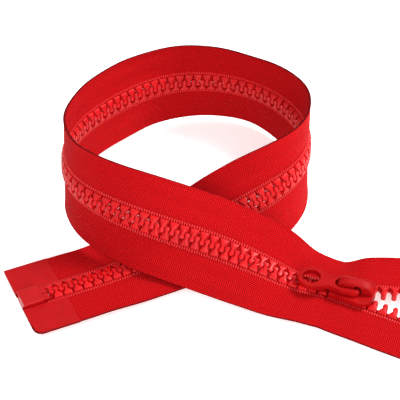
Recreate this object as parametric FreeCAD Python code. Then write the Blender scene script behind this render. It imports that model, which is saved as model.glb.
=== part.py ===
import FreeCAD, Part
import math
import os

os.makedirs("parts", exist_ok=True)
V = FreeCAD.Vector

# A moulded-plastic open-end zipper, No. 5 size, lying in one loop with its slider near the open end.
# Millimetres, +Z up, +X along the straight chain at the slider, towards the open end.
# Along the chain, s is the distance from the tape's end at the box. Across it, y is the distance
# from the chain's centre line towards a tape's outer edge, and z is the height above the tape's middle.

# Tape and cord
TAPE_HALF = 15.0        # centre line of the closed chain to a tape's outer edge
TAPE_THICK = 0.6
TAPE_INNER = 2.42       # where the woven tape begins, beside its core cord
TAPE_LENGTH = 405.0
CORD_Y = 1.9            # centre of the core cord
CORD_R = 0.5
FIT = 0.2               # gap between moulded plastic and the cord or tape it grips

# Teeth
PITCH = 3.2             # between teeth on one tape
TOOTH_HALF_THICK = 1.25
LEG_OUT = 2.9           # outer end of the legs: the chain is 5.8 wide
LEG_IN = 1.4
LEG_HALF = 1.05         # half a leg's width along the chain
NECK_HALF = 0.45
HEAD_R = 0.8
HEAD_Y = -0.4           # head centre, past the centre line
HEAD_CHAMFER = 0.25
FIRST_TOOTH = 10.0      # s of the first left tooth. The right teeth sit half a pitch further on

# Box end
PIN_END = 8.8
PIN_HALF_THICK = 1.15
BOX_START = 0.4
BOX_END = 6.9
BOX_HALF_WIDTH = 3.5
BOX_HALF_THICK = 1.85
BOX_WALL = 0.65
FILM_LENGTH = 14.0
FILM_THICK = 0.12
FILM_INNER = 3.6
FILM_GAP = 0.04         # between a film and the woven face it covers

# Open end
HINGE_S = 340.4         # where the rows begin to part, at the slider's rear edge
OPEN_ANGLE = 10.5       # each row turns this far out of line
FAN_LENGTH = 16.0       # over which each spread tape turns fully to its row's direction
STOP_START = 385.0
STOP_LENGTH = 3.0
STOP_OUT = 4.0
STOP_IN = 1.1
STOP_HALF_THICK = 1.3

# Slider, measured from its centre on the chain's centre line
SLIDER_LENGTH = 13.0
REAR_HALF_WIDTH = 3.95
SHOULDER_HALF_WIDTH = 5.6
SHOULDER_X = 3.6
NOSE_HALF_WIDTH = 2.6   # the straight middle of the front edge
CHANNEL_HALF = 1.45     # half the height between the blades
BLADE_THICK = 0.95
TAPE_SLOT_HALF = 0.65
POST_HALF_WIDTH = 0.65
POST_X = 4.7
POST_ARC = 4.0          # radius of the post's two faces
CROWN_HALF_WIDTH = 1.45
CROWN_REAR = -4.7
CROWN_FRONT = 6.4
CROWN_TOP = 5.9
CROWN_WALL = 0.7
CROWN_ROOT = 0.5        # how deep its feet are let into the blade
FOOT = 1.0              # length of each foot
FOOT_GAP = 0.02
WINDOW_HALF = 1.25      # half the width of the crown's window for the crossbar
WINDOW_TOP = 5.0

# Pull, measured from its crossbar
BAR_X = 1.5
BAR_Z = 3.4
BAR_R = 0.6
PULL_THICK = 1.7
PULL_SLOT_HALF = 1.75
PULL_SLOT_REACH = 7.1
ARM_OUT = 3.3
WAIST_HALF = 2.35
EYE_X = 14.4
EYE_R = 2.8
EYE_OUT = 4.2
PULL_BOW = 0.12         # how far the plate's middle lies below its level ends
KNOB = 0.85             # how far the arms' rounded ends reach past the crossbar's middle

# Lock
LOCK_HALF_WIDTH = 0.55
LOCK_THICK = 0.35
PRONG_X = -3.15

# The chain's route. It starts flat and straight at the box, passes under its own other end, stands
# on its near edge around the loop, and comes back over itself to lie flat at the slider.
MIDDLE = V(-0.96, 5.1, 0)   # the middle of everything, seen from above, which becomes the origin
START = V(-72, -44, BOX_HALF_THICK) - MIDDLE
START_HEADING = 42.0
START_STRAIGHT = 24.0
# x, y, height and lean in degrees: 0 lies flat, 90 stands on edge with its front face outwards
LOOP = [
    (-33, -9, 5.5, 16),
    (-16, 7, 12, 48),
    (-3.5, 28, 15.5, 80),
    (-9.5, 51, 15.5, 96),
    (-31, 63.5, 16.5, 86),
    (-55, 58.5, 17.5, 91),
    (-70.5, 40, 18, 96),
    (-77.5, 16, 18.5, 91),
    (-68.5, -6, 19.5, 82),
    (-46, -14, 17.5, 62),
    (-22, -12.8, 12, 42),
    (-3, -12.1, 6.2, 18),
]
END_START = V(10, -11.8, 2.6) - MIDDLE
# How far each tape's outer part droops from its chain's plane, in degrees, at distances s
LEFT_DROOP = [(0, 0), (304, 0), (325, -15), (341, 9), (350, -9), (362, -14), (385, -12), (405, 0)]
RIGHT_DROOP = [(0, 0), (298, 0), (322, 5), (345, 12), (405, 12)]
CREASE_Y = 5.8


def smooth(stops, s):
    """The value at s of a smooth curve through (s, value) pairs, level beyond both ends."""
    if s <= stops[0][0]:
        return stops[0][1]
    if s >= stops[-1][0]:
        return stops[-1][1]
    k = 0
    while stops[k + 1][0] < s:
        k = k + 1
    slopes = []
    for i in (k, k + 1):
        a = stops[max(i - 1, 0)]
        b = stops[min(i + 1, len(stops) - 1)]
        inner = 0 < i < len(stops) - 1
        slopes.append((b[1] - a[1]) / (b[0] - a[0]) if inner else 0.0)
    span = stops[k + 1][0] - stops[k][0]
    t = (s - stops[k][0]) / span
    return ((2 * t**3 - 3 * t**2 + 1) * stops[k][1] + (t**3 - 2 * t**2 + t) * span * slopes[0]
            + (3 * t**2 - 2 * t**3) * stops[k + 1][1] + (t**3 - t**2) * span * slopes[1])


# The bent stretch of the route as one curve, and its lean against distance
start_way = V(math.cos(math.radians(START_HEADING)), math.sin(math.radians(START_HEADING)), 0)
bend_start = START + start_way * START_STRAIGHT
knots = [bend_start] + [V(x, y, z) - MIDDLE for x, y, z, lean in LOOP] + [END_START]
bend = Part.BSplineCurve()
bend.interpolate(Points=knots, InitialTangent=start_way, FinalTangent=V(1, 0, 0), Scale=False)
BEND_LENGTH = bend.length()
leans = [0] + [lean for x, y, z, lean in LOOP] + [0]
LEAN = []
for knot, lean in zip(knots, leans):
    if knot is knots[0]:
        LEAN.append((START_STRAIGHT, lean))
    else:
        LEAN.append((START_STRAIGHT + bend.length(bend.FirstParameter, bend.parameter(knot)), lean))


def frame(s):
    """The chain's centre at s, with the directions of travel, across to the left and out of the front."""
    if s <= START_STRAIGHT:
        point = START + start_way * s
        travel = start_way
    elif s >= START_STRAIGHT + BEND_LENGTH:
        point = END_START + V(s - START_STRAIGHT - BEND_LENGTH, 0, 0)
        travel = V(1, 0, 0)
    else:
        at = bend.parameterAtDistance(s - START_STRAIGHT, bend.FirstParameter)
        point = bend.value(at)
        travel = bend.tangent(at)[0]
    level = V(0, 0, 1).cross(travel).normalize()
    upward = travel.cross(level)
    lean = math.radians(smooth(LEAN, s))
    left = level * math.cos(lean) + upward * math.sin(lean)
    return point, travel, left, travel.cross(left)


HINGE = frame(HINGE_S)[0]


def hinge_s(side):
    """Each row parts between two of its own teeth, so the two rows part half a pitch from each other."""
    return HINGE_S + side * PITCH / 4


def turned(vector, side, angle):
    """The vector turned by the angle in degrees about +Z, outwards for the given side."""
    a = math.radians(angle) * side
    return V(vector.x * math.cos(a) - vector.y * math.sin(a),
             vector.x * math.sin(a) + vector.y * math.cos(a), vector.z)


def on_row(side, s, y, z):
    """A point on one side's row: side 1 is left, -1 is right. Past the hinge the rows are spread."""
    point, travel, left, front = frame(s)
    p = point + left * (side * y) + front * z
    if s > hinge_s(side):
        hinge = HINGE + V(hinge_s(side) - HINGE_S, side * CORD_Y, 0)
        p = hinge + turned(p - hinge, side, OPEN_ANGLE)
    return p


def on_tape(side, s, y, z):
    """A point on one side's tape, which droops past its crease and fans out past the hinge."""
    droop = math.radians(smooth(LEFT_DROOP if side > 0 else RIGHT_DROOP, s))
    outward = min(y, CREASE_Y) - CORD_Y
    upward = z
    if y > CREASE_Y:
        outward = outward + (y - CREASE_Y) * math.cos(droop) + z * math.sin(droop)
        upward = z * math.cos(droop) - (y - CREASE_Y) * math.sin(droop)
    point, travel, left, front = frame(s)
    if s <= hinge_s(side):
        return point + left * (side * (CORD_Y + outward)) + front * upward
    fan = OPEN_ANGLE * min((s - hinge_s(side)) / FAN_LENGTH, 1.0)
    return on_row(side, s, CORD_Y, upward) + turned(V(0, side * outward, 0), side, fan)


def spaced(a, b, step):
    """Distances from a to b, evenly spaced, no further apart than step."""
    n = max(1, math.ceil((b - a) / step))
    return [a + (b - a) * i / n for i in range(n + 1)]


def strip(side, a, b, step, inner, outer, low, high):
    """A thin strip of one tape from s = a to b, between two distances across it."""
    across = [inner] + ([CREASE_Y] if inner < CREASE_Y < outer else []) + [outer]
    wires = []
    for s in spaced(a, b, step):
        ring = [on_tape(side, s, y, high) for y in across]
        ring = ring + [on_tape(side, s, y, low) for y in reversed(across)]
        wires.append(Part.makePolygon(ring + ring[:1]))
    return Part.makeLoft(wires, True, True)


def cord(side, a, b, step):
    """The round core cord of one tape from s = a to b."""
    circles = []
    for s in spaced(a, b, step):
        centre = on_row(side, s, CORD_Y, 0)
        way = frame(s)[1]
        if s > hinge_s(side):
            way = turned(way, side, OPEN_ANGLE)
        circles.append(Part.Wire(Part.makeCircle(CORD_R, centre, way)))
    return Part.makeLoft(circles, True, False)


def box(x0, x1, y0, y1, z0, z1):
    """A block between two limits along each axis."""
    return Part.makeBox(x1 - x0, y1 - y0, z1 - z0, V(x0, y0, z0))


def outline(points, z0, z1):
    """A flat outline of straight edges, raised from z0 to z1."""
    ring = [V(x, y, z0) for x, y in points]
    return Part.Face(Part.makePolygon(ring + ring[:1])).extrude(V(0, 0, z1 - z0))


def gripped(shape, a, b):
    """The shape with a bore for the core cord and a slot for the tape, from x = a to b, for y > 0."""
    bore = Part.makeCylinder(CORD_R + FIT, b - a + 2, V(a - 1, CORD_Y, 0), V(1, 0, 0))
    half = TAPE_THICK / 2 + FIT
    slot = box(a - 1, b + 1, CORD_Y, TAPE_HALF, -half, half)
    return shape.cut(bore.fuse(slot))


def make_tooth():
    """One tooth at the origin: legs towards +Y around the cord, then a neck and a round head."""
    t = TOOTH_HALF_THICK
    legs = outline([(-LEG_HALF, LEG_IN + 0.3), (-NECK_HALF, LEG_IN - 0.3), (NECK_HALF, LEG_IN - 0.3),
                    (LEG_HALF, LEG_IN + 0.3), (LEG_HALF, LEG_OUT), (-LEG_HALF, LEG_OUT)], -t, t)
    neck = box(-NECK_HALF, NECK_HALF, HEAD_Y, LEG_IN, -t, t)
    head = Part.makeCylinder(HEAD_R, 2 * t, V(0, HEAD_Y, -t))
    rims = [e for e in head.Edges if isinstance(e.Curve, Part.Circle)]
    head = head.makeChamfer(HEAD_CHAMFER, rims)
    tooth = legs.fuse(neck).fuse(head).removeSplitter()
    # the legs taper towards the tape
    for sign in (1, -1):
        wedge = Part.Face(Part.makePolygon([V(-2, LEG_IN + 0.5, sign * t), V(-2, LEG_OUT, sign * (t - 0.45)),
                                            V(-2, LEG_OUT + 1, sign * (t + 1)),
                                            V(-2, LEG_IN + 0.5, sign * t)])).extrude(V(4, 0, 0))
        tooth = tooth.cut(wedge)
    return gripped(tooth, -LEG_HALF, LEG_HALF)


def placed(shape, side, s):
    """The shape, made for the left side with +X as travel, set on one side's row at s."""
    point, travel, left, front = frame(s)
    if s > hinge_s(side):
        origin = on_row(side, s, 0, 0)
        travel = turned(travel, side, OPEN_ANGLE)
        left = turned(left, side, OPEN_ANGLE)
    else:
        origin = point
    across = left * side
    # a right-hand piece is the left one turned over, so that it stays a turn and not a mirror image
    face = travel.cross(across)
    m = FreeCAD.Matrix(travel.x, across.x, face.x, origin.x,
                       travel.y, across.y, face.y, origin.y,
                       travel.z, across.z, face.z, origin.z,
                       0, 0, 0, 1)
    copy = shape.copy()
    copy.Placement = FreeCAD.Placement(m)
    return copy


def rounded(shape, radius, keep):
    """The shape with the edges chosen by keep filleted."""
    return shape.makeFillet(radius, [e for e in shape.Edges if keep(e)])


def save(node, *shapes):
    """Write one node's STEP file, with several shapes kept as separate solids."""
    shape = shapes[0] if len(shapes) == 1 else Part.makeCompound(list(shapes))
    shape.exportStep("parts/" + node + ".step")


half = TAPE_THICK / 2
tooth = make_tooth()
for side, name in ((1, "left"), (-1, "right")):
    # the tape and its cord, and their spread ends past the hinge
    part_s = hinge_s(side)
    save(name + "_tape", strip(side, 0, part_s, 4, TAPE_INNER, TAPE_HALF, -half, half))
    save(name + "_tape_flap", strip(side, part_s + 0.1, TAPE_LENGTH, 4, TAPE_INNER, TAPE_HALF, -half, half))
    save(name + "_cord", cord(side, 1.3, part_s, 4))
    save(name + "_cord_flap", cord(side, part_s + 0.3, STOP_START + STOP_LENGTH, 20))
    # its teeth, closed and spread
    s = FIRST_TOOTH + (0 if side > 0 else PITCH / 2)
    closed = []
    spread = []
    while s < STOP_START - LEG_HALF:
        (closed if s < part_s else spread).append(placed(tooth, side, s))
        s = s + PITCH
    save(name + "_teeth", *closed)
    save(name + "_teeth_flap", *spread)
    # the stop that ends the row
    stop = box(0, STOP_LENGTH, STOP_IN, STOP_OUT, -STOP_HALF_THICK, STOP_HALF_THICK)
    stop = rounded(stop, 0.4, lambda e: abs(abs(e.CenterOfMass.z) - STOP_HALF_THICK) > 0.01)
    save(name + "_top_stop", placed(gripped(stop, 0, STOP_LENGTH), side, STOP_START))
    # the stiff clear film over both faces at the box end
    for face, up in (("front", side), ("back", -side)):
        near = up * (half + FILM_GAP)
        far = near + up * FILM_THICK
        film = box(0, FILM_LENGTH, FILM_INNER, TAPE_HALF, min(near, far), max(near, far))
        save(name + "_film_" + face, placed(film, side, 0))

# The two pins that meet in the box
for side, name in ((1, "retainer_pin"), (-1, "insertion_pin")):
    pin = box(BOX_START + BOX_WALL + 0.1, PIN_END, 0.15, LEG_OUT, -PIN_HALF_THICK, PIN_HALF_THICK)
    pin = rounded(pin, 0.35, lambda e: abs(e.CenterOfMass.y - 0.15) < 0.01 and abs(e.CenterOfMass.z) > 1)
    save(name, placed(gripped(pin, 0, PIN_END), side, 0))

# The box that holds them, open towards the chain and slotted for both tapes
shell = box(BOX_START, BOX_END, -BOX_HALF_WIDTH, BOX_HALF_WIDTH, -BOX_HALF_THICK, BOX_HALF_THICK)
shell = rounded(shell, 0.5, lambda e: abs(e.CenterOfMass.x - (BOX_START + BOX_END) / 2) < 0.1
                or abs(e.CenterOfMass.z) < 0.1)
hollow = box(BOX_START + BOX_WALL, BOX_END + 1, -LEG_OUT - 0.1, LEG_OUT + 0.1,
             -PIN_HALF_THICK - 0.05, PIN_HALF_THICK + 0.05)
shell = shell.cut(hollow)
tape_slot = box(BOX_START - 1, BOX_END + 1, TAPE_INNER - 0.1, BOX_HALF_WIDTH + 1, -0.4, 0.4)
shell = shell.cut(tape_slot).cut(tape_slot.mirror(V(0, 0, 0), V(0, 1, 0)))
save("retainer_box", placed(shell, 1, 0))

# The slider body: two blades joined by a post, with flanges that guide the legs
CENTRE = HINGE + V(SLIDER_LENGTH / 2 - 0.2, 0, 0)
REAR = -SLIDER_LENGTH / 2
FRONT = SLIDER_LENGTH / 2
BLADE_TOP = CHANNEL_HALF + BLADE_THICK


def wire(edges):
    """A closed wire from edges given in any order."""
    return Part.Wire(Part.__sortEdges__(edges))


def blade(z0, z1):
    """A blade: narrow at the rear, wide at the shoulders, with a round lobe each side of the nose."""
    edges = [Part.makeLine(V(REAR, -REAR_HALF_WIDTH, z0), V(REAR, REAR_HALF_WIDTH, z0)),
             Part.makeLine(V(FRONT, -NOSE_HALF_WIDTH, z0), V(FRONT, NOSE_HALF_WIDTH, z0))]
    for sign in (1, -1):
        flank_end = V(SHOULDER_X - 1.4, sign * (SHOULDER_HALF_WIDTH - 0.25), z0)
        edges.append(Part.makeLine(V(REAR, sign * REAR_HALF_WIDTH, z0), flank_end))
        lobe = Part.BSplineCurve()
        lobe.interpolate(Points=[flank_end, V(SHOULDER_X + 0.6, sign * SHOULDER_HALF_WIDTH, z0),
                                 V(FRONT - 0.5, sign * 4.3, z0), V(FRONT, sign * NOSE_HALF_WIDTH, z0)])
        edges.append(lobe.toShape())
    return Part.Face(wire(edges)).extrude(V(0, 0, z1 - z0))


body = blade(CHANNEL_HALF, BLADE_TOP).fuse(blade(-BLADE_TOP, -CHANNEL_HALF))
flange_slope = math.tan(math.radians(OPEN_ANGLE))
flange_rear = LEG_OUT + 0.25
flange_front = flange_rear + (SHOULDER_X - REAR) * flange_slope
for sign in (1, -1):
    flange = outline([(REAR, sign * flange_rear), (SHOULDER_X, sign * flange_front),
                      (SHOULDER_X, sign * 8), (REAR, sign * 8)], -CHANNEL_HALF, CHANNEL_HALF)
    flange = flange.common(blade(-CHANNEL_HALF, CHANNEL_HALF))
    flange = flange.cut(box(REAR - 1, FRONT, -8, 8, -TAPE_SLOT_HALF, TAPE_SLOT_HALF))
    body = body.fuse(flange)
arc_offset = POST_ARC - POST_HALF_WIDTH
post = Part.makeCylinder(POST_ARC, 2 * CHANNEL_HALF, V(POST_X, -arc_offset, -CHANNEL_HALF))
post = post.common(Part.makeCylinder(POST_ARC, 2 * CHANNEL_HALF, V(POST_X, arc_offset, -CHANNEL_HALF)))
post = post.common(blade(-CHANNEL_HALF, CHANNEL_HALF))
body = body.fuse(post).removeSplitter()
# pockets for the crown's feet and a hole for the lock's prong
for x in (CROWN_REAR, CROWN_FRONT - FOOT):
    body = body.cut(box(x - FOOT_GAP, x + FOOT + FOOT_GAP, -CROWN_HALF_WIDTH - FOOT_GAP,
                        CROWN_HALF_WIDTH + FOOT_GAP, BLADE_TOP - CROWN_ROOT, BLADE_TOP + 1))
body = body.cut(box(PRONG_X - 0.55, PRONG_X + 0.55, -LOCK_HALF_WIDTH - 0.25, LOCK_HALF_WIDTH + 0.25,
                    0, BLADE_TOP + 1))
body.translate(CENTRE)
save("slider_body", body)

# The crown: an arch over the blade, hollow for the lock, with a window each side for the crossbar
rear_foot = V(CROWN_REAR, 0, BLADE_TOP)
front_foot = V(CROWN_FRONT, 0, BLADE_TOP)
arch_points = [V(CROWN_REAR, 0, 4.3), V(CROWN_REAR + 1.1, 0, 5.6), V(0.6, 0, CROWN_TOP),
               V(CROWN_FRONT - 1.5, 0, 4.9), V(CROWN_FRONT, 0, 3.1)]
arch = Part.BSplineCurve()
arch.interpolate(Points=arch_points)
crown_side = wire([Part.makeLine(rear_foot, arch_points[0]), arch.toShape(),
                   Part.makeLine(arch_points[-1], front_foot), Part.makeLine(front_foot, rear_foot)])
crown = Part.Face(crown_side).extrude(V(0, 2 * CROWN_HALF_WIDTH, 0))
crown.translate(V(0, -CROWN_HALF_WIDTH, 0))
crown = rounded(crown, 0.55, lambda e: abs(abs(e.CenterOfMass.y) - CROWN_HALF_WIDTH) < 0.01
                and e.CenterOfMass.z > BLADE_TOP + 0.1)
crown = crown.cut(box(CROWN_REAR + 0.9, BAR_X + 2.0, -CROWN_HALF_WIDTH + CROWN_WALL,
                      CROWN_HALF_WIDTH - CROWN_WALL, BLADE_TOP - 1, 5.1))
window_arch = WINDOW_TOP - WINDOW_HALF
crown = crown.cut(box(BAR_X - WINDOW_HALF, BAR_X + WINDOW_HALF, -3, 3, BLADE_TOP - 1, window_arch))
crown = crown.cut(Part.makeCylinder(WINDOW_HALF, 6, V(BAR_X, -3, window_arch), V(0, 1, 0)))
for x in (CROWN_REAR, CROWN_FRONT - FOOT):
    crown = crown.fuse(box(x, x + FOOT, -CROWN_HALF_WIDTH, CROWN_HALF_WIDTH,
                           BLADE_TOP - CROWN_ROOT, BLADE_TOP))
crown = crown.removeSplitter()
crown.translate(CENTRE)
save("slider_crown", crown)

# The lock: a leaf over the crossbar with a prong down through the blade
LEAF_Z = BAR_Z + BAR_R + 0.1
leaf = outline([(PRONG_X - 0.25, 1.3), (PRONG_X + 0.25, 1.3), (PRONG_X + 0.25, LEAF_Z), (BAR_X + 1.0, LEAF_Z),
                (BAR_X + 1.0, LEAF_Z - 0.5), (BAR_X + 1.35, LEAF_Z - 0.5),
                (BAR_X + 1.35, LEAF_Z + LOCK_THICK), (PRONG_X - 0.25, LEAF_Z + LOCK_THICK)],
               -LOCK_HALF_WIDTH, LOCK_HALF_WIDTH)
leaf.rotate(V(0, 0, 0), V(1, 0, 0), 90)
leaf.translate(CENTRE)
save("lock_spring", leaf)

# The pull: a plate with an eye at one end, and two arms and a crossbar at the other
HALF_THICK = PULL_THICK / 2
PLATE_END = -EYE_X - EYE_OUT - 1
bow = [V(PLATE_END, 0, 0), V(-EYE_X, 0, 0), V(-EYE_X / 2, 0, -PULL_BOW), V(0, 0, 0), V(KNOB + 0.1, 0, 0)]
faces = []
for height in (HALF_THICK, -HALF_THICK):
    curve = Part.BSplineCurve()
    curve.interpolate(Points=[point + V(0, 0, height) for point in bow])
    faces.append(curve.toShape())
ends = [Part.makeLine(point + V(0, 0, HALF_THICK), point - V(0, 0, HALF_THICK)) for point in (bow[0], bow[-1])]
plate = Part.Face(wire(faces + ends)).extrude(V(0, 12, 0))
plate.translate(V(0, -6, 0))
eye_end = Part.Arc(V(-EYE_X, EYE_OUT, -4), V(-EYE_X - EYE_OUT, 0, -4), V(-EYE_X, -EYE_OUT, -4))
plan = [eye_end.toShape(),
        Part.makeLine(V(KNOB, ARM_OUT - 0.9, -4), V(KNOB, 0.9 - ARM_OUT, -4))]
for sign in (1, -1):
    flank = Part.BSplineCurve()
    flank.interpolate(Points=[V(-EYE_X, sign * EYE_OUT, -4), V(-EYE_X + 6.2, sign * WAIST_HALF, -4),
                              V(-5.4, sign * (ARM_OUT - 0.25), -4), V(0, sign * ARM_OUT, -4)],
                      InitialTangent=V(1, 0, 0), FinalTangent=V(1, 0, 0))
    plan.append(flank.toShape())
    corner = Part.Arc(V(0, sign * ARM_OUT, -4), V(KNOB - 0.26, sign * (ARM_OUT - 0.26), -4),
                      V(KNOB, sign * (ARM_OUT - 0.9), -4))
    plan.append(corner.toShape())
pull = Part.Face(wire(plan)).extrude(V(0, 0, 8)).common(plate)
pull = pull.cut(Part.makeCylinder(EYE_R, 8, V(-EYE_X, 0, -5)))
slot_end = -PULL_SLOT_REACH + PULL_SLOT_HALF
pull = pull.cut(box(slot_end, 2, -PULL_SLOT_HALF, PULL_SLOT_HALF, -4, 4))
pull = pull.cut(Part.makeCylinder(PULL_SLOT_HALF, 8, V(slot_end, 0, -4)))
arm_ends = Part.makeCylinder(HALF_THICK, 2 * ARM_OUT, V(0, -ARM_OUT, 0), V(0, 1, 0))
pull = pull.cut(box(0, 3, -6, 6, -3, 3).cut(arm_ends))
crossbar = Part.makeCylinder(BAR_R, 2 * PULL_SLOT_HALF + 1, V(0, -PULL_SLOT_HALF - 0.5, 0), V(0, 1, 0))
pull = pull.fuse(crossbar).removeSplitter()
pull.translate(CENTRE + V(BAR_X, 0, BAR_Z))
save("pull_tab", pull)
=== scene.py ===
import math

import bmesh
import bpy
import numpy as np
from mathutils import Matrix, Vector


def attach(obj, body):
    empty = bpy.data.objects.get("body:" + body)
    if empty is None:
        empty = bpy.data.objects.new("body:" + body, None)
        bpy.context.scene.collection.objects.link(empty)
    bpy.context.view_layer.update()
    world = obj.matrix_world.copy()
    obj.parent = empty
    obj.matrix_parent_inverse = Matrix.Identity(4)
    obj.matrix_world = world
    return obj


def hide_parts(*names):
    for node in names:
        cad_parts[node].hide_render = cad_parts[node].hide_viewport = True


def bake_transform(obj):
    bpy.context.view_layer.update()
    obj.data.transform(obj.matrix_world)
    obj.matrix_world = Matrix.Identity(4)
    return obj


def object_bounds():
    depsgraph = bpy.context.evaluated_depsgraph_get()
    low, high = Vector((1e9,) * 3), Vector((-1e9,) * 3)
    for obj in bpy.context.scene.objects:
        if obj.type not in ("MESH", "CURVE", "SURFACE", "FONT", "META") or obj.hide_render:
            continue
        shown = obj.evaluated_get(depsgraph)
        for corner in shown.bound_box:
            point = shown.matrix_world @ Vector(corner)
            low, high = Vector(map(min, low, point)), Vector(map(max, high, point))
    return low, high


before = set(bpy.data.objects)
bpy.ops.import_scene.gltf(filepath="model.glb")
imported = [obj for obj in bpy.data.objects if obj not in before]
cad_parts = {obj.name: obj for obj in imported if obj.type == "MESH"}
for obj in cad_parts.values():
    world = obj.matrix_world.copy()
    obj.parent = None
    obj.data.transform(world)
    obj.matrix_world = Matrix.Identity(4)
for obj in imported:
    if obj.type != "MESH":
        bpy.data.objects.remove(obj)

CAD_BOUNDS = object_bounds()
MM = 0.001

# Sizes in millimetres, as in the CAD. s runs along the chain from the box end, y across it towards
# a tape's outer edge, z up out of the front face.
TAPE_HALF = 15.0
TAPE_THICK = 0.6
TAPE_INNER = 2.42
TAPE_LENGTH = 405.0
CORD_Y = 1.9
CORD_R = 0.5
PITCH = 3.2
FIRST_TOOTH = 10.0
HINGE_S = 340.4
OPEN_ANGLE = 10.5
FAN_LENGTH = 16.0
STOP_START = 385.0
STOP_LENGTH = 3.0
CREASE_Y = 5.8
CREASE_WIDTH = 3.0      # over which the cloth bends at its crease
CORNER_R = 3.0          # round outer corner of the right tape at the box end
CORNER_REACH = 10.0     # how far along the tape the cut corner draws the weave in
FILM_LENGTH = 14.0
FILM_INNER = 3.62
FILM_WIDTH = 11.3
FILM_THICK = 0.11
BOX_HALF_THICK = 1.85
CORD_START = 1.3
CORD_GAP = 0.3          # between a cord's two stretches, at the hinge
TOOTH_HALF_THICK = 1.25
LEG_HALF = 1.05         # half a leg's width along the chain
HEAD_R = 0.8
HEAD_Y = -0.4           # the round head's centre, past the centre line

# The raised yarns beside the teeth
LOOP_Y = 3.55
LOOP_HALF_LENGTH = 0.58
LOOP_WIDTH = 0.54
LOOP_HEIGHT = 0.32
LOOP_ROOT = 0.06        # how deep each yarn is set into the tape's face

# ---------------------------------------------------------------- the chain's route

MIDDLE = np.array([-0.96, 5.1, 0.0])
START = np.array([-72.0, -44.0, BOX_HALF_THICK]) - MIDDLE
START_HEADING = math.radians(42.0)
START_STRAIGHT = 24.0
# x, y, height and lean in degrees: 0 lies flat, 90 stands on edge with its front face outwards
LOOP = [
    (-33, -9, 5.5, 16),
    (-16, 7, 12, 48),
    (-3.5, 28, 15.5, 80),
    (-9.5, 51, 15.5, 96),
    (-31, 63.5, 16.5, 86),
    (-55, 58.5, 17.5, 91),
    (-70.5, 40, 18, 96),
    (-77.5, 16, 18.5, 91),
    (-68.5, -6, 19.5, 82),
    (-46, -14, 17.5, 62),
    (-22, -12.8, 12, 42),
    (-3, -12.1, 6.2, 18),
]
END_START = np.array([10.0, -11.8, 2.6]) - MIDDLE
# How far each tape's outer part droops from its chain's plane, in degrees, at distances s
LEFT_DROOP = [(0, 0), (304, 0), (325, -15), (341, 9), (350, -9), (362, -14), (385, -12), (405, 0)]
RIGHT_DROOP = [(0, 0), (298, 0), (322, 5), (345, 12), (405, 12)]


def smooth(stops, s):
    """The value at s of a smooth curve through (s, value) pairs, level beyond both ends."""
    if s <= stops[0][0]:
        return stops[0][1]
    if s >= stops[-1][0]:
        return stops[-1][1]
    k = 0
    while stops[k + 1][0] < s:
        k += 1
    slopes = []
    for i in (k, k + 1):
        a, b = stops[max(i - 1, 0)], stops[min(i + 1, len(stops) - 1)]
        slopes.append((b[1] - a[1]) / (b[0] - a[0]) if 0 < i < len(stops) - 1 else 0.0)
    span = stops[k + 1][0] - stops[k][0]
    t = (s - stops[k][0]) / span
    return ((2 * t**3 - 3 * t**2 + 1) * stops[k][1] + (t**3 - 2 * t**2 + t) * span * slopes[0]
            + (3 * t**2 - 2 * t**3) * stops[k + 1][1] + (t**3 - t**2) * span * slopes[1])


class Bend:
    """The cubic spline through the route's points, with set directions at both ends."""

    def __init__(self, points, first_way, last_way):
        p = np.array(points)
        t = np.concatenate([[0], np.cumsum(np.linalg.norm(np.diff(p, axis=0), axis=1))])
        n = len(p)
        h = np.diff(t)
        a = np.zeros((n, n))
        r = np.zeros((n, 3))
        a[0, 0] = a[-1, -1] = 1
        r[0], r[-1] = first_way, last_way
        for i in range(1, n - 1):
            a[i, i - 1], a[i, i], a[i, i + 1] = h[i], 2 * (h[i - 1] + h[i]), h[i - 1]
            r[i] = 3 * (h[i] * (p[i] - p[i - 1]) / h[i - 1] + h[i - 1] * (p[i + 1] - p[i]) / h[i])
        self.t, self.p, self.m = t, p, np.linalg.solve(a, r)
        # the distance run along the curve, summed in fine steps
        fine = np.linspace(0, t[-1], 8001)
        speed = np.array([np.linalg.norm(self.at(x)[1]) for x in fine])
        self.fine = fine
        self.run = np.concatenate([[0], np.cumsum((speed[1:] + speed[:-1]) / 2 * np.diff(fine))])
        self.length = self.run[-1]
        self.knots_at = [float(np.interp(x, fine, self.run)) for x in t]

    def at(self, x):
        """The point and the slope at the parameter x."""
        k = min(max(int(np.searchsorted(self.t, x)) - 1, 0), len(self.t) - 2)
        h = self.t[k + 1] - self.t[k]
        u = (x - self.t[k]) / h
        p0, p1, m0, m1 = self.p[k], self.p[k + 1], self.m[k] * h, self.m[k + 1] * h
        point = ((2 * u**3 - 3 * u**2 + 1) * p0 + (u**3 - 2 * u**2 + u) * m0
                 + (3 * u**2 - 2 * u**3) * p1 + (u**3 - u**2) * m1)
        slope = ((6 * u**2 - 6 * u) * p0 + (3 * u**2 - 4 * u + 1) * m0
                 + (6 * u - 6 * u**2) * p1 + (3 * u**2 - 2 * u) * m1) / h
        return point, slope

    def along(self, distance):
        """The point and the direction at a distance run along the curve."""
        point, slope = self.at(float(np.interp(distance, self.run, self.fine)))
        return point, slope / np.linalg.norm(slope)


START_WAY = np.array([math.cos(START_HEADING), math.sin(START_HEADING), 0.0])
END_WAY = np.array([1.0, 0.0, 0.0])
BEND = Bend([START + START_WAY * START_STRAIGHT] + [np.array(k[:3]) - MIDDLE for k in LOOP] + [END_START],
            START_WAY, END_WAY)
LEAN = list(zip([START_STRAIGHT + x for x in BEND.knots_at], [0] + [k[3] for k in LOOP] + [0]))


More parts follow.
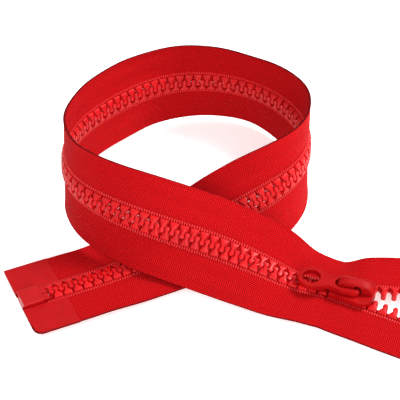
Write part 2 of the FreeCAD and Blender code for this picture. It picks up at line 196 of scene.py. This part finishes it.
def chain_frame(s):
    """The chain's centre at s, with the directions of travel, across to the left and out of the front."""
    if s <= START_STRAIGHT:
        point, travel = START + START_WAY * s, START_WAY
    elif s >= START_STRAIGHT + BEND.length:
        point, travel = END_START + END_WAY * (s - START_STRAIGHT - BEND.length), END_WAY
    else:
        point, travel = BEND.along(s - START_STRAIGHT)
    level = np.cross([0, 0, 1], travel)
    level = level / np.linalg.norm(level)
    lean = math.radians(smooth(LEAN, s))
    left = level * math.cos(lean) + np.cross(travel, level) * math.sin(lean)
    return point, travel, left, np.cross(travel, left)


HINGE = chain_frame(HINGE_S)[0]


def hinge_s(side):
    """Each row parts between two of its own teeth, so the two rows part half a pitch from each other."""
    return HINGE_S + side * PITCH / 4


def turned(v, side, angle):
    """The vector turned by the angle in degrees about +Z, outwards for the given side."""
    a = math.radians(angle) * side
    return np.array([v[0] * math.cos(a) - v[1] * math.sin(a), v[0] * math.sin(a) + v[1] * math.cos(a), v[2]])


def on_row(side, s, y, z):
    """A point on one side's row, in millimetres. Past the hinge the rows are spread."""
    point, travel, left, front = chain_frame(s)
    p = point + left * (side * y) + front * z
    if s > hinge_s(side):
        hinge = HINGE + np.array([hinge_s(side) - HINGE_S, side * CORD_Y, 0])
        p = hinge + turned(p - hinge, side, OPEN_ANGLE)
    return p


def on_tape(side, s, y, z):
    """A point on one side's tape, which droops past its crease and fans out past the hinge."""
    droop = math.radians(smooth(LEFT_DROOP if side > 0 else RIGHT_DROOP, s))
    ease = min(max((y - CREASE_Y) / CREASE_WIDTH + 0.5, 0.0), 1.0)
    bent = CREASE_WIDTH * ease * ease / 2 + max(y - CREASE_Y - CREASE_WIDTH / 2, 0.0)
    flat = y - CORD_Y - bent
    outward = flat + bent * math.cos(droop) + z * math.sin(droop) * ease
    upward = z * (1 + (math.cos(droop) - 1) * ease) - bent * math.sin(droop)
    point, travel, left, front = chain_frame(s)
    if s <= hinge_s(side):
        return point + left * (side * (CORD_Y + outward)) + front * upward
    fan = OPEN_ANGLE * min((s - hinge_s(side)) / FAN_LENGTH, 1.0)
    return on_row(side, s, CORD_Y, upward) + turned(np.array([0, side * outward, 0]), side, fan)


def row_matrix(side, s):
    """Places a piece made with +X as travel and +Y outwards onto one side's row at s."""
    point, travel, left, front = chain_frame(s)
    if s > hinge_s(side):
        point = on_row(side, s, 0, 0)
        travel, left = turned(travel, side, OPEN_ANGLE), turned(left, side, OPEN_ANGLE)
    across = left * side
    face = np.cross(travel, across)
    return np.array([travel, across, face]).T, point


# ---------------------------------------------------------------- camera, lights and floor

TARGET = Vector((-34.04, 14.9, 0.0)) * MM
CAMERA_WAY = math.radians(17.2)
CAMERA_UP = math.radians(40.1)
CAMERA_FAR = 430.5 * MM
CAMERA_ANGLE = math.radians(17.4870)
camera_data = bpy.data.cameras.new("camera")
camera_data.angle = CAMERA_ANGLE
camera_data.clip_start = 0.01
camera = bpy.data.objects.new("camera", camera_data)
bpy.context.scene.collection.objects.link(camera)
camera.location = TARGET + CAMERA_FAR * Vector((math.sin(CAMERA_WAY) * math.cos(CAMERA_UP),
                                                -math.cos(CAMERA_WAY) * math.cos(CAMERA_UP),
                                                math.sin(CAMERA_UP)))
camera.rotation_euler = (TARGET - camera.location).to_track_quat("-Z", "Y").to_euler()
bpy.context.scene.camera = camera


def area_light(name, where, size, watts):
    """A square light at a place in metres, aimed at the middle of the part."""
    data = bpy.data.lights.new(name, "AREA")
    data.size = size
    data.energy = watts
    ob = bpy.data.objects.new(name, data)
    ob.location = where
    ob.rotation_euler = (Vector((0, 0, 0)) - Vector(where)).to_track_quat("-Z", "Y").to_euler()
    bpy.context.scene.collection.objects.link(ob)


area_light("key", (0.36, 0.30, 0.54), 0.22, 5.3)
area_light("fill", (-0.45, -0.30, 0.50), 0.60, 0.9)
area_light("front", (0.32, -0.58, 0.32), 0.50, 3.0)
world = bpy.data.worlds.new("studio")
bpy.context.scene.world = world
world.use_nodes = True
world.node_tree.nodes["Background"].inputs["Color"].default_value = (1, 1, 1, 1)
world.node_tree.nodes["Background"].inputs["Strength"].default_value = 0.56
bpy.context.scene.view_settings.view_transform = "Standard"

# ---------------------------------------------------------------- materials


class Nodes:
    """A short way to write a material's nodes."""

    def __init__(self, name):
        self.material = bpy.data.materials.new(name)
        self.material.use_nodes = True
        self.tree = self.material.node_tree
        self.tree.nodes.clear()
        self.out = self.tree.nodes.new("ShaderNodeOutputMaterial")
        self.shader = self.tree.nodes.new("ShaderNodeBsdfPrincipled")
        self.link(self.shader.outputs[0], self.out.inputs[0])

    def link(self, a, b):
        """Join one node's output to another's input."""
        self.tree.links.new(a, b)

    def put(self, value, socket):
        """Feed a socket from a node's output or with a plain value."""
        if isinstance(value, bpy.types.NodeSocket):
            self.link(value, socket)
        else:
            socket.default_value = value

    def math(self, op, a, b=0.0):
        """One step of arithmetic on one or two values."""
        node = self.tree.nodes.new("ShaderNodeMath")
        node.operation = op
        for value, socket in zip((a, b), node.inputs):
            self.put(value, socket)
        return node.outputs[0]

    def noise(self, vector, scale, detail=2.0, rough=0.5):
        """Smooth random values from 0 to 1."""
        node = self.tree.nodes.new("ShaderNodeTexNoise")
        self.link(vector, node.inputs["Vector"])
        node.inputs["Scale"].default_value = scale
        node.inputs["Detail"].default_value = detail
        node.inputs["Roughness"].default_value = rough
        return node.outputs["Fac"]

    def ramp(self, value, low, high, to_low=0.0, to_high=1.0):
        """The value, moved from one range into another and held within it."""
        node = self.tree.nodes.new("ShaderNodeMapRange")
        for v, socket in zip((value, low, high, to_low, to_high), node.inputs):
            self.put(v, socket)
        return node.outputs[0]

    def mix(self, fac, a, b):
        """A colour between a and b."""
        node = self.tree.nodes.new("ShaderNodeMix")
        node.data_type = "RGBA"
        self.put(fac, node.inputs[0])
        self.put(a, node.inputs[6])
        self.put(b, node.inputs[7])
        return node.outputs[2]

    def bump(self, height, distance, strength=1.0):
        """The surface direction over small bumps of the given height."""
        node = self.tree.nodes.new("ShaderNodeBump")
        node.inputs["Strength"].default_value = strength
        node.inputs["Distance"].default_value = distance
        self.link(height, node.inputs["Height"])
        return node.outputs[0]

    def uv(self):
        """The cloth's map: the whole vector, then the distances along and across."""
        node = self.tree.nodes.new("ShaderNodeUVMap")
        node.uv_map = "cloth"
        parts = self.tree.nodes.new("ShaderNodeSeparateXYZ")
        self.link(node.outputs[0], parts.inputs[0])
        return node.outputs[0], parts.outputs[0], parts.outputs[1]

    def object_coords(self):
        """The place on the piece, in metres."""
        return self.tree.nodes.new("ShaderNodeTexCoord").outputs["Object"]


RED = (0.55, 0.002, 0.004, 1)
BRIGHT_RED = (0.86, 0.008, 0.012, 1)
DARK_RED = (0.20, 0.000, 0.001, 1)
RIDGE = 0.70 * MM       # between the twill's slanting ridges, along the tape
COLUMN = 2.9 * MM       # width of one herringbone column
CROSS_YARN = 0.58 * MM  # between the fine yarns that cross the ridges
STRAND = 0.13 * MM      # between the strands of a raised yarn
BESIDE_TEETH = 3.4 * MM     # middle of the darker band next to the teeth


def weave(n, s, y):
    """Herringbone twill: slanting ridges that turn back at each column's edge, crossed by fine yarns."""
    fold = n.math("PINGPONG", y, COLUMN)
    slant = n.math("ADD", s, n.math("MULTIPLY", fold, 0.75))
    ridge = n.math("SINE", n.math("MULTIPLY", slant, 2 * math.pi / RIDGE))
    yarn = n.math("SINE", n.math("MULTIPLY", y, 2 * math.pi / CROSS_YARN))
    return n.math("ADD", ridge, n.math("MULTIPLY", yarn, 0.55))


def cloth_material():
    """Woven tape. The UV map holds the distance along and across the tape, in metres."""
    n = Nodes("red woven tape")
    vector, s, y = n.uv()
    height = weave(n, s, y)
    fuzz = n.noise(vector, 2200.0, 3.0, 0.6)
    blotch = n.noise(vector, 110.0, 3.0, 0.6)
    shade = n.ramp(height, -1.4, 1.4, 0.0, 0.85)
    shade = n.math("ADD", shade, n.math("MULTIPLY", n.math("SUBTRACT", fuzz, 0.5), 0.9))
    base = n.mix(shade, DARK_RED, BRIGHT_RED)
    colour = n.mix(n.ramp(blotch, 0.3, 0.7, 0.0, 0.25), base, RED)
    # the selvedge is a tighter, darker yarn along the very edge
    edge = n.ramp(n.math("ABSOLUTE", n.math("SUBTRACT", y, TAPE_HALF * MM)), 0.10 * MM, 0.34 * MM)
    colour = n.mix(edge, (0.13, 0.001, 0.002, 1), colour)
    # the cloth is darker in the shade beside the teeth
    beside = n.ramp(n.math("ABSOLUTE", n.math("SUBTRACT", y, BESIDE_TEETH)), 0.5 * MM, 1.1 * MM, 0.45, 0.0)
    colour = n.mix(beside, colour, (0.16, 0.001, 0.002, 1))
    n.link(colour, n.shader.inputs["Base Color"])
    n.shader.inputs["Roughness"].default_value = 0.8
    n.shader.inputs["Specular IOR Level"].default_value = 0.06
    n.link(n.bump(n.math("ADD", height, fuzz), 0.09 * MM, 1.0), n.shader.inputs["Normal"])
    return n.material


def film_material():
    """Clear film ironed onto the cloth: the weave shows through faintly under a smooth satin skin."""
    n = Nodes("film over tape")
    vector, s, y = n.uv()
    height = weave(n, s, y)
    blotch = n.noise(vector, 250.0, 3.0, 0.6)
    shade = n.math("ADD", n.ramp(height, -1.4, 1.4, 0.10, 0.30), n.math("MULTIPLY", blotch, 0.25))
    n.link(n.mix(shade, DARK_RED, BRIGHT_RED), n.shader.inputs["Base Color"])
    n.link(n.ramp(blotch, 0.3, 0.7, 0.50, 0.62), n.shader.inputs["Roughness"])
    n.shader.inputs["Specular IOR Level"].default_value = 0.14
    n.link(n.bump(n.math("ADD", height, blotch), 0.03 * MM, 0.7), n.shader.inputs["Normal"])
    return n.material


def plastic_material(name, bright, rough, mottled):
    """Moulded plastic: a faint orange-peel skin, a little uneven in gloss and colour."""
    n = Nodes(name)
    where = n.object_coords()
    peel = n.noise(where, 1500.0, 2.0, 0.5)
    blotch = n.noise(where, 260.0, 2.0, 0.5)
    low = tuple(c * (1 - mottled) for c in bright[:3]) + (1,)
    n.link(n.mix(n.ramp(blotch, 0.35, 0.65), low, bright), n.shader.inputs["Base Color"])
    n.link(n.ramp(peel, 0.3, 0.7, rough - 0.06, rough + 0.08), n.shader.inputs["Roughness"])
    n.shader.inputs["Specular IOR Level"].default_value = 0.25
    n.link(n.bump(peel, 0.02 * MM, 0.35), n.shader.inputs["Normal"])
    return n.material


def enamel_material():
    """Satin enamel over cast zinc: a soft orange peel, a little uneven in colour and gloss."""
    n = Nodes("satin red enamel")
    where = n.object_coords()
    peel = n.noise(where, 900.0, 3.0, 0.55)
    blotch = n.noise(where, 180.0, 3.0, 0.6)
    n.link(n.mix(n.ramp(blotch, 0.3, 0.7), (0.33, 0.001, 0.002, 1), (0.42, 0.002, 0.003, 1)),
           n.shader.inputs["Base Color"])
    n.link(n.ramp(blotch, 0.3, 0.7, 0.40, 0.52), n.shader.inputs["Roughness"])
    n.shader.inputs["Specular IOR Level"].default_value = 0.12
    n.link(n.bump(peel, 0.03 * MM, 0.35), n.shader.inputs["Normal"])
    return n.material


def steel_material():
    """Bare spring steel with a fine grain."""
    n = Nodes("spring steel")
    where = n.object_coords()
    grain = n.noise(where, 1200.0, 3.0, 0.6)
    n.link(n.mix(grain, (0.30, 0.20, 0.19, 1), (0.48, 0.36, 0.34, 1)), n.shader.inputs["Base Color"])
    n.shader.inputs["Metallic"].default_value = 0.9
    n.link(n.ramp(grain, 0.3, 0.7, 0.3, 0.45), n.shader.inputs["Roughness"])
    return n.material


def floor_material():
    """A plain white table, lit a little from within so that it stays white around the part."""
    n = Nodes("white table")
    where = n.object_coords()
    faint = n.noise(where, 40.0, 2.0, 0.5)
    n.link(n.mix(faint, (0.93, 0.93, 0.93, 1), (0.97, 0.97, 0.97, 1)), n.shader.inputs["Base Color"])
    n.shader.inputs["Roughness"].default_value = 0.9
    n.shader.inputs["Emission Color"].default_value = (1, 1, 1, 1)
    n.shader.inputs["Emission Strength"].default_value = 0.50
    return n.material


def yarn_material():
    """The raised warp loops: a brighter, slightly shiny filament yarn with fine strands along it."""
    n = Nodes("raised warp yarn")
    vector, s, y = n.uv()
    strand = n.math("SINE", n.math("MULTIPLY", s, 2 * math.pi / STRAND))
    fuzz = n.noise(vector, 3000.0, 2.0, 0.6)
    shade = n.math("ADD", n.ramp(strand, -1, 1, 0.1, 0.5), n.math("MULTIPLY", fuzz, 0.5))
    n.link(n.mix(shade, (0.50, 0.003, 0.005, 1), (0.95, 0.035, 0.04, 1)), n.shader.inputs["Base Color"])
    n.shader.inputs["Roughness"].default_value = 0.45
    n.shader.inputs["Specular IOR Level"].default_value = 0.3
    n.link(n.bump(strand, 0.03 * MM, 0.6), n.shader.inputs["Normal"])
    return n.material


CLOTH = cloth_material()
YARN = yarn_material()
FILM = film_material()
TEETH = plastic_material("red moulded teeth", (0.62, 0.003, 0.006, 1), 0.38, 0.15)
ENDS = plastic_material("red moulded ends", (0.46, 0.003, 0.005, 1), 0.30, 0.10)
ENAMEL = enamel_material()
STEEL = steel_material()

FLOOR_HALF = 3.0        # metres
FLOOR_DROP = 0.02 * MM  # keeps the floor just clear of the part's lowest faces
floor_mesh = bpy.data.meshes.new("floor")
floor_corners = [(-FLOOR_HALF, -FLOOR_HALF, 0), (FLOOR_HALF, -FLOOR_HALF, 0), (FLOOR_HALF, FLOOR_HALF, 0),
                 (-FLOOR_HALF, FLOOR_HALF, 0)]
floor_mesh.from_pydata(floor_corners, [], [(0, 1, 2, 3)])
floor_mesh.materials.append(floor_material())
floor = bpy.data.objects.new("floor", floor_mesh)
floor.location.z = CAD_BOUNDS[0][2] - FLOOR_DROP
bpy.context.scene.collection.objects.link(floor)

# ---------------------------------------------------------------- mesh helpers


def new_object(name, verts, faces, material, uvs=None, smooth_angle=None):
    """A mesh object from points in metres. uvs holds one (s, y) pair per vertex."""
    mesh = bpy.data.meshes.new(name)
    mesh.from_pydata([tuple(v) for v in verts], [], faces)
    mesh.materials.append(material)
    if uvs is not None:
        layer = mesh.uv_layers.new(name="cloth")
        index = np.zeros(len(mesh.loops), dtype=np.int32)
        mesh.loops.foreach_get("vertex_index", index)
        layer.data.foreach_set("uv", np.array(uvs, dtype=np.float32)[index].ravel())
    mesh.update()
    mesh.shade_smooth()
    if smooth_angle is not None:
        mesh.set_sharp_from_angle(angle=math.radians(smooth_angle))
    ob = bpy.data.objects.new(name, mesh)
    bpy.context.scene.collection.objects.link(ob)
    return ob


def swept(rings):
    """Points and faces that join equal rings one after another into a closed tube."""
    n = len(rings[0])
    verts = [p for ring in rings for p in ring]
    faces = []
    for i in range(len(rings) - 1):
        for j in range(n):
            a, b = i * n + j, i * n + (j + 1) % n
            faces.append((a, b, b + n, a + n))
    faces.append(tuple(reversed(range(n))))
    faces.append(tuple(range((len(rings) - 1) * n, len(rings) * n)))
    return verts, faces


def joined(parts):
    """Several (verts, faces) as one."""
    verts, faces = [], []
    for v, f in parts:
        base = len(verts)
        verts += list(v)
        faces += [tuple(base + i for i in face) for face in f]
    return verts, faces


# ---------------------------------------------------------------- tapes

TAPE_STEP = 1.2         # between the rings of points along a tape
random = np.random.default_rng(7)


def trimmed(side, s, y):
    """The distance s, moved in where the right tape's outer corner is cut round at the box end."""
    over = max(y - (TAPE_HALF - CORNER_R), 0.0) / CORNER_R
    if side > 0 or over <= 0 or s > CORNER_REACH:
        return s
    cut = CORNER_R * (1 - math.sqrt(max(1 - over * over, 0.0)))
    return cut + s * (CORNER_REACH - cut) / CORNER_REACH


def tape(side, name):
    """One whole tape, from the box end to its free end, with a rolled selvedge at its outer edge."""
    half = TAPE_THICK / 2
    profile = [(TAPE_INNER, half * 0.6), (TAPE_INNER + 0.15, half), (3.6, half), (4.6, half), (5.4, half),
               (6.2, half), (7.2, half), (8.6, half), (10.0, half), (11.4, half), (12.8, half), (13.7, half),
               (14.15, half), (14.35, half + 0.10), (14.7, half + 0.12), (14.93, half * 0.7)]
    ring = profile + [(y, -z) for y, z in reversed(profile)]
    steps = int(TAPE_LENGTH / TAPE_STEP)
    waves = random.uniform(0, 2 * math.pi, 4)
    rings, uvs = [], []
    for i in range(steps + 1):
        s = TAPE_LENGTH * i / steps
        # cloth never lies quite true: a slight cockle that grows towards the outer edge
        cockle = (0.10 * math.sin(s / 5.3 + waves[0]) + 0.08 * math.sin(s / 2.9 + waves[1])
                  + 0.10 * math.sin(s / 11.0 + waves[2]))
        # the stiff film keeps the box end flat
        calm = min(max((s - FILM_LENGTH) / 8.0, 0.0), 1.0)
        row = []
        for y, z in ring:
            lift = cockle * calm * max(y - 6.0, 0.0) / 9.0
            row.append(on_tape(side, trimmed(side, s, y), y, z + lift) * MM)
            uvs.append((s * MM, (y if z > 0 else 2 * TAPE_HALF - y) * MM))
        rings.append(row)
    verts, faces = swept(rings)
    ob = new_object(name + "_woven_tape", verts, faces, CLOTH, uvs, 60)
    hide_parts(name + "_tape", name + "_tape_flap")
    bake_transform(ob)


CORD_STEP = 0.4
CORD_SIDES = 10


def cord_piece(side, name, a, b, body, node):
    """The core cord, twisted, as it shows between the legs of the teeth."""
    steps = int((b - a) / CORD_STEP)
    rings = []
    for i in range(steps + 1):
        s = a + (b - a) * i / steps
        row = []
        for k in range(CORD_SIDES):
            angle = 2 * math.pi * k / CORD_SIDES
            r = CORD_R * (0.92 + 0.08 * math.sin(3 * angle - s * 2.4))
            row.append(on_row(side, s, CORD_Y + r * math.cos(angle), r * math.sin(angle)) * MM)
        rings.append(row)
    verts, faces = swept(rings)
    uvs = []
    for i in range(len(verts)):
        ring, k = divmod(i, CORD_SIDES)
        uvs.append(((a + (b - a) * ring / steps) * MM, 0.3 * MM * k))
    ob = new_object(name, verts, faces, CLOTH, uvs)
    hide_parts(node)
    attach(ob, body)


LOOP_ROWS = 7
LOOP_POINTS = 5


def warp_loops(side, name, a, b, body):
    """The row of small raised yarns on both faces, right beside the legs of the teeth."""
    grid = [(u, v) for u in np.linspace(-1, 1, LOOP_ROWS) for v in np.linspace(0, 1, LOOP_POINTS)]
    n = LOOP_POINTS
    last = (LOOP_ROWS - 1) * n
    # the grid's outer points in order, which close the underside
    rim = (list(range(0, last + 1, n)) + list(range(last + 1, last + n))
           + list(range(last - 1, n - 2, -n)) + list(range(n - 2, 0, -1)))
    parts, uvs = [], []
    s = a
    while s < b:
        for face in (1, -1):
            verts = []
            for u, v in grid:
                y = LOOP_Y + u * LOOP_HALF_LENGTH
                swell = math.sqrt(max(1 - u * u, 0.0))
                x = s + (v - 0.5) * LOOP_WIDTH * (0.45 + 0.55 * swell)
                z = TAPE_THICK / 2 - LOOP_ROOT + LOOP_HEIGHT * swell * math.sin(math.pi * v)
                verts.append(on_tape(side, x, y, face * z) * MM)
                uvs.append((x * MM, y * MM))
            faces = []
            for i in range(0, last, n):
                for j in range(i, i + n - 1):
                    q = (j, j + 1, j + n + 1, j + n)
                    faces.append(q if face * side < 0 else tuple(reversed(q)))
            faces.append(tuple(reversed(rim)) if face * side < 0 else tuple(rim))
            parts.append((verts, faces))
        s += PITCH / 4
    verts, faces = joined(parts)
    ob = new_object(name, verts, faces, YARN, uvs)
    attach(ob, body)


# ---------------------------------------------------------------- teeth


def rounded_block(points, levels):
    """A solid from a flat outline: levels are (height, how far the outline is drawn in)."""
    p = np.array(points)
    ahead = np.roll(p, -1, axis=0) - p
    back = p - np.roll(p, 1, axis=0)
    way = ahead / np.linalg.norm(ahead, axis=1)[:, None] + back / np.linalg.norm(back, axis=1)[:, None]
    way /= np.linalg.norm(way, axis=1)[:, None]
    inward = np.stack([-way[:, 1], way[:, 0]], axis=1)
    rings = [[(x, y, z) for x, y in p + inward * inset] for z, inset in levels]
    return swept(rings)


def tooth_shape():
    """One tooth: a broad body over the cord, a waist, and a round head, with a low foot on the tape."""
    right = [(0.92, 2.88), (1.16, 2.74), (1.25, 2.45), (1.20, 2.10), (1.04, 1.80), (0.84, 1.50), (0.64, 1.20),
             (0.53, 0.90), (0.49, 0.62), (0.50, 0.36), (0.60, 0.10)]
    head = [(HEAD_R * math.sin(a), HEAD_Y - HEAD_R * math.cos(a))
            for a in np.radians([118, 100, 82, 62, 42, 21, 0])]
    half = [(0.0, 2.90), (0.45, 2.90)] + right + head
    outline = [(-x, y) for x, y in half[1:-1]] + [half[-1]] + list(reversed(half[1:-1])) + [half[0]]
    above = [(0.8, 0.0), (1.05, 0.02), (1.19, 0.10), (TOOTH_HALF_THICK, 0.24)]
    levels = [(-z, inset) for z, inset in reversed(above)] + above
    body = rounded_block(outline, levels)
    # the body falls away towards the tape
    verts = []
    for x, y, z in body[0]:
        fall = 0.42 * min(max(y - CORD_Y, 0.0), 1.0) ** 1.5
        verts.append((x, y, z * (1 - fall * abs(z) / TOOTH_HALF_THICK)))
    foot_side = [(1.15, 2.98), (1.36, 2.86), (1.40, 2.5), (1.3, 2.1)]
    foot = [(-x, y) for x, y in foot_side] + list(reversed(foot_side))
    ledge = rounded_block(foot, [(-0.62, 0.12), (-0.55, 0.02), (0.55, 0.02), (0.62, 0.12)])
    # the locking ridge round the waist, which fills the space beside the next tooth's head
    ridge_side = [(1.30, 1.62), (1.28, 1.34), (1.02, 1.02), (0.78, 0.66), (0.72, 0.30), (0.72, -0.10)]
    ridge = [(-x, y) for x, y in ridge_side] + list(reversed(ridge_side))
    ridge = rounded_block(ridge, [(-0.50, 0.10), (-0.42, 0.0), (0.42, 0.0), (0.50, 0.10)])
    return joined([(verts, body[1]), ledge, ridge])


TOOTH = tooth_shape()


def teeth(side, name, closed):
    """All the teeth of one stretch of one row, each a hair out of true as moulding leaves them."""
    s = FIRST_TOOTH + (0 if side > 0 else PITCH / 2)
    parts = []
    while s < STOP_START - LEG_HALF:
        if (s < hinge_s(side)) == closed:
            turn, origin = row_matrix(side, s)
            tilt = np.array(Matrix.Rotation(random.uniform(-0.010, 0.010), 3, "Z"))
            verts = (np.array(TOOTH[0]) @ tilt.T) @ turn.T + origin
            parts.append((verts * MM, TOOTH[1]))
        s += PITCH
    verts, faces = joined(parts)
    ob = new_object(name, verts, faces, TEETH, None, 50)
    return ob


for side, name in ((1, "left"), (-1, "right")):
    ob = teeth(side, name + "_closed_teeth", True)
    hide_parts(name + "_teeth")
    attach(ob, "closed_chain")
    ob = teeth(side, name + "_spread_teeth", False)
    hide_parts(name + "_teeth_flap")
    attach(ob, name + "_flap")
    cord_piece(side, name + "_core_cord", CORD_START, hinge_s(side), "closed_chain", name + "_cord")
    cord_piece(side, name + "_core_cord_end", hinge_s(side) + CORD_GAP, STOP_START + STOP_LENGTH,
               name + "_flap", name + "_cord_flap")
    warp_loops(side, name + "_warp_loops", 8.0, hinge_s(side) - 0.4, "closed_chain")
    warp_loops(side, name + "_warp_loops_end", hinge_s(side) + 0.5, TAPE_LENGTH - 1.0, name + "_flap")
    tape(side, name)

# ---------------------------------------------------------------- films at the box end


def film(side, name, face):
    """A film with a slightly uneven cut edge, pressed onto the tape."""
    low = TAPE_THICK / 2
    steps, across = 14, 12
    rings, uvs = [], []
    ys = FILM_INNER + FILM_WIDTH * np.sin(np.linspace(0, math.pi / 2, across))
    ring = [(y, low) for y in ys] + [(y, low + FILM_THICK) for y in reversed(ys)]
    for i in range(steps + 1):
        row = []
        for y, z in ring:
            s = 0.02 + (FILM_LENGTH - 0.04 - 0.12 * abs(math.sin(y * 1.7))) * i / steps
            row.append(on_tape(side, trimmed(side, s, y), y, face * z) * MM)
            uvs.append((s * MM, y * MM))
        rings.append(row)
    verts, faces = swept(rings)
    ob = new_object(name, verts, faces, FILM, uvs, 40)
    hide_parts(name.replace("_clear_film", "_film"))
    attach(ob, "closed_chain")


for side, name in ((1, "left"), (-1, "right")):
    film(side, name + "_clear_film_front", 1)
    film(side, name + "_clear_film_back", -1)

# ---------------------------------------------------------------- hard pieces from the CAD, edges eased


def eased(node, name, material, body, width):
    """A copy of a CAD node with its sharp edges rounded off."""
    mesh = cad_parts[node].data.copy()
    mesh.materials.clear()
    mesh.materials.append(material)
    ob = bpy.data.objects.new(name, mesh)
    bpy.context.scene.collection.objects.link(ob)
    bm = bmesh.new()
    bm.from_mesh(mesh)
    bmesh.ops.remove_doubles(bm, verts=bm.verts, dist=0.5e-6)
    bmesh.ops.dissolve_limit(bm, angle_limit=math.radians(2.0), verts=bm.verts, edges=bm.edges)
    bm.to_mesh(mesh)
    bm.free()
    if mesh.has_custom_normals:
        mesh.attributes.remove(mesh.attributes["custom_normal"])
    bevel = ob.modifiers.new("eased", "BEVEL")
    bevel.width = width * MM
    bevel.segments = 3
    bevel.limit_method = "ANGLE"
    bevel.angle_limit = math.radians(35)
    bevel.use_clamp_overlap = True
    mesh.shade_smooth()
    normals = ob.modifiers.new("normals", "WEIGHTED_NORMAL")
    normals.keep_sharp = False
    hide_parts(node)
    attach(ob, body)


eased("slider_body", "slider_blades", ENAMEL, "slider", 0.16)
eased("slider_crown", "slider_arch", ENAMEL, "slider", 0.12)
eased("pull_tab", "pull", ENAMEL, "pull", 0.30)
eased("lock_spring", "lock_leaf", STEEL, "lock", 0.05)
eased("retainer_box", "end_box", ENDS, "closed_chain", 0.12)
eased("retainer_pin", "box_pin", ENDS, "closed_chain", 0.12)
eased("insertion_pin", "free_pin", ENDS, "closed_chain", 0.12)
eased("left_top_stop", "left_stop", ENDS, "left_flap", 0.10)
eased("right_top_stop", "right_stop", ENDS, "right_flap", 0.10)
